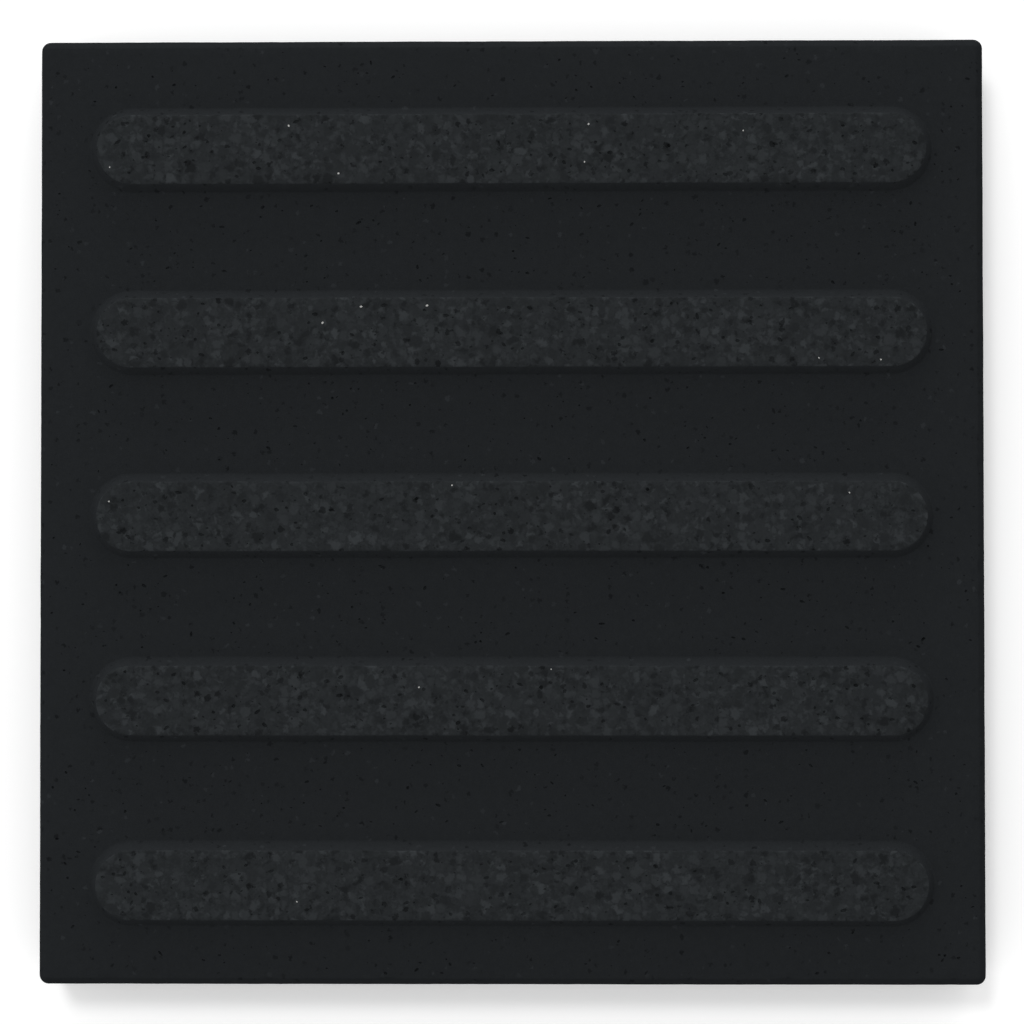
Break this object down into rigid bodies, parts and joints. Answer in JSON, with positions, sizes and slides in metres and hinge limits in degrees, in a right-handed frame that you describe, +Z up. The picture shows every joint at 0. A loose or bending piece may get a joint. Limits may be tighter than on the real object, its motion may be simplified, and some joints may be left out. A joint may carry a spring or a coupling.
{
  "type": "tactile paving slab",
  "caption": "Square charcoal concrete paving slab with raised flat-topped guide bars, round at their ends, that show the way underfoot and to a cane.",
  "frame": {"origin": "centre of the bed face, on the level surface that the slab lies on", "axes": "+Z up, out of the walking face; +X along the bars, the way people walk; +Y across the bars"},
  "size_m": [0.4, 0.4, 0.04],
  "materials": {
    "charcoal_concrete": "matt moulded cement skin, with the bar tops ground flat so that their stone chips show"
  },
  "bodies": {
    "root": {"paving_slab": "charcoal_concrete"}
  },
  "joints": []
}
